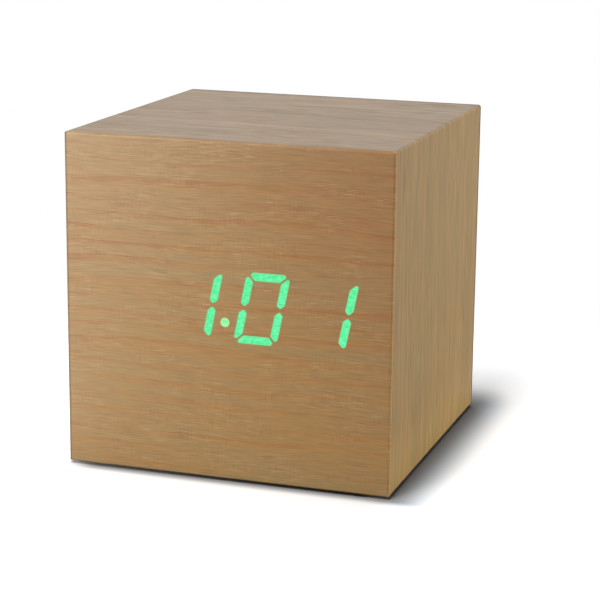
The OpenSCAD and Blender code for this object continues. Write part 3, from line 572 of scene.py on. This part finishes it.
# %% [markdown]
# ## Sawn wood, circuit boards, resin and cell wraps
# Fibreboard shows its felted fibres where it was sawn, so its rim at the back is full of short pale and dark
# flecks. Glue blocks are sawn pine. A circuit board is green lacquer over copper tracks that run square to
# each other. The resin in the light wells is clear, with the white wells round it. A cell has a printed
# sleeve, here a plain slate one with a pale ring, and no words.

# %% Fibreboard and pine
def sawn(name, colour, fleck, dark, size):
    bench = new_material(name)
    spot = in_mm(bench)
    flecks = grain(bench, spot, size, 2.0)
    dust = grain(bench, spot, (0.22, 0.22, 0.22), 1.0, seed=7.0)
    clouds = grain(bench, spot, (6, 6, 6), 2.0, seed=19.0)
    tone = (flecks.rise(0.52, 0.7) * 0.7).mix(colour, fleck)
    tone = ((1 - flecks).rise(0.58, 0.74) * 0.7).mix(tone, dark)
    tone = (1 + (dust - 0.5) * 0.3 + (clouds - 0.5) * 0.2).tint(tone)
    finish(
        bench,
        Base_Color=tone,
        Roughness=0.82 + (dust - 0.5) * 0.15,
        Specular_IOR_Level=0.2,
        Normal=bump(bench, flecks + dust * 0.5, 0.05),
    )


sawn("fibreboard", paint(150, 117, 80), paint(170, 137, 97), paint(126, 94, 62), (0.5, 0.3, 0.5))
sawn("pine", paint(206, 172, 122), paint(226, 198, 154), paint(172, 130, 82), (0.7, 6.0, 0.7))

# %% Circuit board
def circuit_board():
    bench = new_material("circuit_board")
    spot = in_mm(bench)
    across = grain(bench, spot, (7, 9, 0.5), 0.0)
    upright = grain(bench, spot, (0.5, 9, 7), 0.0, seed=13.0)
    field = grain(bench, spot, (9, 9, 9), 0.0, seed=29.0)
    tracks = across.rise(0.56, 0.59) * (field > 0.5) + upright.rise(0.56, 0.59) * (0.5 > field)
    weave = grain(bench, spot, (0.3, 0.3, 0.3), 1.0, seed=31.0)
    colour = (tracks * 0.8).mix(paint(18, 74, 44), paint(44, 116, 66))
    finish(
        bench,
        Base_Color=(1 + (weave - 0.5) * 0.2).tint(colour),
        Roughness=0.34 + (weave - 0.5) * 0.1,
        Normal=bump(bench, tracks + weave * 0.1, 0.03),
    )


circuit_board()

# %% Clear resin and cell sleeve
def clear_resin():
    bench = new_material("clear_resin")
    haze = grain(bench, in_mm(bench), (1.2, 1.2, 1.2), 2.0)
    finish(
        bench,
        Base_Color=haze.rise(0.3, 0.7).mix(paint(236, 244, 236), paint(216, 232, 220)),
        Roughness=0.16 + haze * 0.1,
        IOR=1.5,
        Transmission_Weight=0.7,
        Normal=bump(bench, haze, 0.01),
    )


def cell_sleeve():
    bench = new_material("cell_wrap")
    spot = in_mm(bench)
    ring = bench.node("Attribute", {"attribute_name": "ring"}, None, "Fac")
    film = grain(bench, spot, (3, 1.2, 1.2), 2.0)
    scuffs = grain(bench, spot, (4, 0.3, 0.3), 1.0, seed=3.0)
    colour = ring.mix(paint(48, 62, 78), paint(198, 202, 204))
    colour = (1 + (film - 0.5) * 0.16).tint(colour)
    finish(
        bench,
        Base_Color=(scuffs.rise(0.68, 0.76) * 0.4).mix(colour, paint(150, 156, 160)),
        Metallic=ring * 0.5,
        Roughness=0.28 + (film - 0.5) * 0.1 + scuffs.rise(0.62, 0.74) * 0.2,
        Coat_Weight=0.3 + film * 0.2,
        Normal=bump(bench, film, 0.015),
    )


clear_resin()
cell_sleeve()
print("materials:", len(materials))

# %% [markdown]
# ## Softened edges
# A CAD edge is perfectly sharp, and nothing made in a mould is. A piece that shows is copied from its node,
# its sharp edges are bevelled by a fraction of a millimetre, and the points in the middle of the bevel get
# the value for wear and painted highlight that the plastic and metal recipes read. Weighted normals keep the
# large faces flat in the shading.

# %% Bevelled copies
sharp_angle = radians(35)
bevel_steps = 2


def softened(node, width_mm):
    mesh = welded(node)
    sharp = [e for e in mesh.edges if e.is_manifold and e.calc_face_angle() > sharp_angle]
    made = bmesh.ops.bevel(
        mesh, geom=sharp, offset=width_mm * MM, offset_type="OFFSET", segments=bevel_steps, profile=0.5,
        affect="EDGES", clamp_overlap=True, loop_slide=False,
    )
    # the value for wear and a painted highlight on the edges
    wear_and_highlight = mesh.verts.layers.float.new("wear_and_highlight")
    bevelled = set(made["faces"])
    for vert in mesh.verts:
        vert[wear_and_highlight] = float(bevelled.issuperset(vert.link_faces))
    bmesh.ops.dissolve_degenerate(mesh, dist=speck, edges=mesh.edges)
    for face in mesh.faces:
        face.smooth = True
    piece = place(mesh, node + "_soft", node)
    normals = piece.modifiers.new("flat faces stay flat", "WEIGHTED_NORMAL")
    normals.weight = 100
    return piece


soft_edges = {
    "back_panel": 0.12,
    "battery_door": 0.22,
    "door_latch": 0.1,
    "set_button": 0.12,
    "up_button": 0.12,
    "down_button": 0.12,
    "back_panel_screws": 0.1,
    "power_jack": 0.12,
    "power_jack_pin": 0.2,
    "rubber_feet": 0.1,
    "battery_tray": 0.15,
}
for node, width in soft_edges.items():
    piece = softened(node, width)
    print(piece.name, len(piece.data.polygons), "faces")

# %% [markdown]
# ## Cells
# A cell is turned about its length, so it is made by spinning half an outline: the flat end in its rolled
# sleeve, the long sleeve with its pale ring, the shoulder, and the nub. Which way a cell points is read
# from its node: the end with the small face has the nub.

# %% Turned cells
cells = ("battery_upper", "battery_middle", "battery_lower")
cell_sides = 48
ring_from_nub = 9.0
ring_width = 1.6
ring_border = 0.05
nub_length = 0.8
end_margin = 0.01 * MM


def cell_outline(radius, length):
    """Distance along the cell and radius in millimetres, 1 on the sleeve, and 1 on its pale ring."""
    shoulder = length - nub_length
    ring_end = shoulder - ring_from_nub
    ring_start = ring_end - ring_width
    return [
        (0.0, 0.0, 0, 0), (0.0, 3.5, 0, 0), (0.25, 3.8, 0, 0), (0.3, 4.3, 0, 0),
        (0.15, 4.5, 1, 0), (0.2, 4.9, 1, 0), (0.6, radius, 1, 0),
        (ring_start - ring_border, radius, 1, 0), (ring_start, radius, 1, 1),
        (ring_end, radius, 1, 1), (ring_end + ring_border, radius, 1, 0),
        (shoulder - 0.6, radius, 1, 0), (shoulder - 0.15, 4.9, 1, 0), (shoulder - 0.1, 4.3, 1, 0),
        (shoulder - 0.35, 4.1, 0, 0), (shoulder - 0.3, 2.2, 0, 0), (shoulder - 0.1, 1.9, 0, 0),
        (length - 0.2, 1.85, 0, 0), (length, 1.6, 0, 0), (length, 0.0, 0, 0),
    ]


def turned_cell(node):
    low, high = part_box(node)
    axis = (low + high) / 2
    tip = [v.co for v in frame["nodes"][node].data.vertices if v.co.x > high.x - end_margin]
    nub_right = max((p - axis).yz.length for p in tip) < (high.z - low.z) / 4
    start, way = (low.x, 1) if nub_right else (high.x, -1)
    outline = cell_outline((high.z - low.z) / 2 / MM, (high.x - low.x) / MM)
    mesh = bmesh.new()
    ring = mesh.verts.layers.float.new("ring")
    loops = []
    for along, radius, _, on_ring in outline:
        count = cell_sides if radius > 0 else 1
        loop = []
        for k in range(count):
            angle = way * 2 * pi * k / cell_sides
            around = Vector((0, cos(angle), sin(angle))) * radius * MM
            vert = mesh.verts.new(Vector((start + way * along * MM, axis.y, axis.z)) + around)
            vert[ring] = on_ring
            loop.append(vert)
        loops.append(loop)
    for first, second, (_, _, sleeve, _) in zip(loops, loops[1:], outline[1:]):
        for k in range(cell_sides):
            following = (k + 1) % cell_sides
            corners = [first[k % len(first)], first[following % len(first)]]
            corners += [second[following % len(second)], second[k % len(second)]]
            face = mesh.faces.new(list(dict.fromkeys(corners)))
            face.smooth = True
            face.material_index = 0 if sleeve else 1
    bmesh.ops.recalc_face_normals(mesh, faces=mesh.faces)
    piece = place(mesh, node + "_turned", node)
    piece.data.materials.append(materials["bright_can"])
    return piece


for node in cells:
    print(turned_cell(node).name)

# %% [markdown]
# ## Springs, leads and ribbon
# Wire is a round outline carried along a path. The same small sweep makes the three conical contact springs,
# the two battery leads and the flat ribbon, whose outline is a row of round wires side by side. Each path is
# a formula, with the sizes of the CAD model, and its ends are read from the frame.

# %% Sweep an outline along paths
side_axis = Vector((1, 0, 0))
up_axis = Vector((0, 0, 1))
nearly_sideways = 0.99


def swept(paths, outline):
    """A closed tube for each path: outline points (across, up) are carried along it without twist."""
    mesh = bmesh.new()
    count = len(outline)
    for path in paths:
        rings = []
        up = None
        for index, point in enumerate(path):
            ahead = path[min(index + 1, len(path) - 1)]
            behind = path[max(index - 1, 0)]
            along = (ahead - behind).normalized()
            if up is None:
                up = up_axis if abs(along.x) > nearly_sideways else along.cross(side_axis)
            up = (up - along * up.dot(along)).normalized()
            across = up.cross(along)
            rings.append([mesh.verts.new(point + across * u + up * v) for u, v in outline])
        for first, second in zip(rings, rings[1:]):
            for k in range(count):
                following = (k + 1) % count
                face = mesh.faces.new((first[k], first[following], second[following], second[k]))
                face.smooth = True
        mesh.faces.new(rings[0])
        mesh.faces.new(rings[-1])
    bmesh.ops.recalc_face_normals(mesh, faces=mesh.faces)
    return mesh


def circle(radius, sides):
    return [(radius * cos(2 * pi * k / sides), radius * sin(2 * pi * k / sides)) for k in range(sides)]


def slack(start, end, bow, steps):
    """A cubic curve that leaves both ends along Y."""
    pull = Vector((0, bow, 0))
    corners = (start, start + pull, end - pull, end)
    points = []
    for i in range(steps + 1):
        t = i / steps
        shares = ((1 - t) ** 3, 3 * t * (1 - t) ** 2, 3 * t * t * (1 - t), t ** 3)
        points.append(sum((c * s for c, s in zip(corners, shares)), Vector()))
    return points


# %% Contact springs
spring_turns = 2.5
spring_base_radius = 3.6 * MM
spring_tip_radius = 2.4 * MM
spring_wire = 0.6 * MM
spring_steps = 60
spring_sides = 12


def spring_path(start, end, centre):
    """A conical coil from the plate at start to the cell at end, along X."""
    way = 1 if end > start else -1
    lead = spring_wire * way
    reach = end - start - 4 * lead
    points = []
    for i in range(spring_steps + 1):
        t = i / spring_steps
        angle = 2 * pi * spring_turns * t
        radius = spring_base_radius + (spring_tip_radius - spring_base_radius) * t
        turn = Vector((0, cos(angle), way * sin(angle)))
        points.append(Vector((start + 2 * lead + reach * t, centre.y, centre.z)) + turn * radius)
    first, last = points[0].copy(), points[-1].copy()
    first.x, last.x = start, end
    return [first, *points, last]


def contact_springs():
    low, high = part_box("contact_springs")
    paths = []
    for node in cells:
        cell_low, cell_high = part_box(node)
        centre = (cell_low + cell_high) / 2
        at_left = cell_low.x - low.x > high.x - cell_high.x
        start, end = (low.x, cell_low.x) if at_left else (high.x, cell_high.x)
        paths.append(spring_path(start, end, centre))
    coils = swept(paths, circle(spring_wire / 2, spring_sides))
    return place(coils, "wound_springs", "contact_springs")


print(contact_springs().name, "with", spring_turns, "turns each")

# %% Leads and ribbon
lead_bow = 16 * MM
lead_steps = 32
lead_sides = 16
ribbon_bow = 14 * MM
ribbon_steps = 40
ribbon_wires = 10
ribbon_half = 0.4 * MM
wire_points = 6
valley = 0.45


def lead(node):
    low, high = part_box(node)
    radius = (high.x - low.x) / 2
    centre = (low.x + high.x) / 2
    board_end = Vector((centre, low.y, high.z - radius))
    tray_end = Vector((centre, high.y, low.z + radius))
    path = slack(board_end, tray_end, lead_bow, lead_steps)
    return place(swept([path], circle(radius, lead_sides)), node + "_wire", node)


def ribbon():
    low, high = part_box("ribbon_cable")
    pitch = (high.x - low.x) / ribbon_wires
    upper = []
    for i in range(ribbon_wires):
        middle = -(high.x - low.x) / 2 + (i + 0.5) * pitch
        for k in range(wire_points):
            angle = pi - pi * (k + 0.5) / wire_points
            level = valley + (1 - valley) * sin(angle)
            upper.append((middle + pitch / 2 * cos(angle), ribbon_half * level))
    outline = upper + [(u, -v) for u, v in reversed(upper)]
    start = Vector((0, low.y, low.z + ribbon_half))
    end = Vector((0, high.y, high.z - ribbon_half))
    path = slack(start, end, ribbon_bow, ribbon_steps)
    return place(swept([path], outline), "ribbon_wires", "ribbon_cable")


for piece in (lead("battery_lead_red"), lead("battery_lead_black"), ribbon()):
    print(piece.name, len(piece.data.polygons), "faces")

# %% [markdown]
# ## Materials on the rest
# Every node that stays as it came from CAD gets the finish that the record names for it.

# %% Dress the CAD nodes
subparts = frame["record"]["subparts"]
for row in subparts:
    frame["nodes"][row["node"]].material_slots[0].material = materials[row["material_slot"]]
print("dressed", len(subparts), "nodes")

# %% [markdown]
# ## Floor and background
# The clock stands on white. A floor that only reflects would turn grey away from the lamps, and one that
# only shines would lose the shadow. So the floor reflects near the clock, where the shadow falls, and
# passes over to plain white further out. That white is for the camera and for mirror-like rays; for all
# other light the floor is an ordinary pale surface, so it sends no extra light to the clock. Right beside
# the clock a floor gets little light from all round, so it is shaded there, and on the right a trace of blue
# makes up for the orange light that the wood throws on it. In the slit under the right side the shade is
# lighter again, because wood and floor throw light to and fro there.

# %% Floor
shade_right, shade_behind, shade_before = 9.7, 18.6, 3.6
shade_strength = 0.7
white_from, white_to = 80, 150
floor_radius = 6.0
floor_sides = 96


def seen_directly(bench):
    """1 for rays from the camera and for rays that a glossy or clear surface sends on."""
    path = {name: bench.node("LightPath", None, None, name) for name in
            ("Is Camera Ray", "Is Glossy Ray", "Is Transmission Ray")}
    return path["Is Camera Ray"].most(path["Is Glossy Ray"]).most(path["Is Transmission Ray"])


def length(bench, x, y):
    """The length of a step by x and y."""
    flat = bench.node("CombineXYZ", None, {0: x, 1: y})
    return bench.node("VectorMath", {"operation": "LENGTH"}, {0: flat}, "Value")


def white_floor():
    bench = new_material("white_floor")
    x, y, z = in_mm(bench)
    away = length(bench, x, y)
    gap = length(bench, (abs(x) - half_side).most(0), (abs(y) - half_side).most(0))
    behind = (y - half_side).most(0) / shade_behind
    before = (-half_side - y).most(0) / shade_before
    shade = length(bench, (x - half_side).most(0) / shade_right, before + behind)
    grit = grain(bench, (x, y, z), (0.6, 0.6, 0.6), 1.0)
    seen = seen_directly(bench)
    facing_wood = (1 - gap.rise(1, 10)) * x.rise(half_side - 2, half_side + 6)
    white = facing_wood.mix((0.72, 0.72, 0.72, 1), (0.63, 0.69, 0.77, 1))
    inside = (half_side - abs(x)).least(half_side - abs(y))
    slit = x.rise(half_side - 6, half_side - 3) * inside.rise(-0.1, 0.5)
    strength = x.rise(-half_side - 2, -half_side + 6) * shade_strength - slit * shade_strength
    contact = 1 - (1 - shade.rise(0, 1)) * strength
    pale = seen.mix(paint(110, 110, 110), contact.tint(white))
    near = bench.node("BsdfDiffuse", None, {"Color": (1 + (grit - 0.5) * 0.01).tint(pale)})
    far = bench.node("Emission", None, {"Color": (1, 1, 1, 1), "Strength": 1.0})
    blend = away.rise(white_from, white_to) * seen
    shader = bench.node("MixShader", None, {0: blend, 1: near, 2: far})
    bench.node("OutputMaterial", None, {"Surface": shader})
    mesh = bmesh.new()
    bmesh.ops.create_circle(mesh, cap_ends=True, radius=floor_radius, segments=floor_sides)
    data = bpy.data.meshes.new("floor")
    mesh.to_mesh(data)
    mesh.free()
    floor = bpy.data.objects.new("floor", data)
    data.materials.append(materials["white_floor"])
    scene.collection.objects.link(floor)
    return floor


floor = white_floor()
print("floor at", floor.location.z)

# %% [markdown]
# ## Lamps
# A long lamp above lights only the floor, so that it is white and the clock's shadow falls on it. It hangs
# almost straight over the clock and is turned a little, which makes the shadow short, soft and wider towards
# the rear. A small lamp close to the floor lights the slit under the front left corner. The other lamps
# light only the clock: a broad one above, a near one on the left that gives the front its slow fall from
# light to dark, one on the right, and two behind, of which one spares the veneer. A photographer keeps light
# off a surface with flags, and light linking does that here. The world adds a little light from everywhere.

# %% Lamps and world
target = Vector((0, 0, middle_z * MM))


def lamp(name, place_mm, size_mm, share, receivers, aim=target, turn=0.0):
    """A lamp of a given size; a white face at the aim, turned to it, shows share of full white."""
    spot = Vector(place_mm) * MM
    away = spot - aim
    data = bpy.data.lights.new(name, "AREA")
    data.shape = "RECTANGLE"
    data.size, data.size_y = Vector(size_mm) * MM
    data.energy = share * pi ** 2 * away.length_squared
    thing = bpy.data.objects.new(name, data)
    facing = away.to_track_quat("Z", "Y").to_matrix().to_4x4() @ Matrix.Rotation(turn, 4, "Z")
    thing.matrix_world = Matrix.Translation(spot) @ facing
    thing.light_linking.receiver_collection = receivers
    thing.visible_camera = False
    scene.collection.objects.link(thing)
    return thing


only_floor = bpy.data.collections.new("only the floor")
only_floor.objects.link(floor)
not_floor = bpy.data.collections.new("all but the floor")
not_floor.objects.link(floor)
only_back = bpy.data.collections.new("all but the floor and the veneer")
only_back.objects.link(floor)
only_back.objects.link(frame["nodes"]["wrap_veneer"])
for receivers in (not_floor, only_back):
    for member in receivers.collection_objects:
        member.light_linking.link_state = "EXCLUDE"
below_lamp = Vector((-20, -115, 0)) * MM
left_corner = Vector((-34, -34, 0)) * MM
lamp("floor_lamp", (-20, -115, 700), (144, 550), 1.88, only_floor, below_lamp, radians(-9))
lamp("low_lamp", (-66, -64, 9), (24, 12), 2.4, only_floor, left_corner)
lamp("top_lamp", (60, 80, 700), (330, 330), 0.55, not_floor)
lamp("left_lamp", (-190, -210, 130), (150, 150), 0.96, not_floor)
lamp("right_lamp", (400, 120, 105), (110, 110), 0.55, not_floor)
lamp("rear_lamp", (-400, 1300, 380), (900, 900), 0.1, not_floor)
lamp("back_lamp", (-150, 600, 120), (200, 200), 0.5, only_back)
world = bpy.data.worlds.new("studio")
world.use_nodes = True
world.node_tree.nodes.clear()
room = Wire(world.node_tree)
fill = 0.06
strength = fill + seen_directly(room) * (1 - fill)
background = room.node("Background", None, {"Color": (1, 1, 1, 1), "Strength": strength})
room.node("OutputWorld", None, {"Surface": background})
scene.world = world
print("lamps:", len(bpy.data.lights))
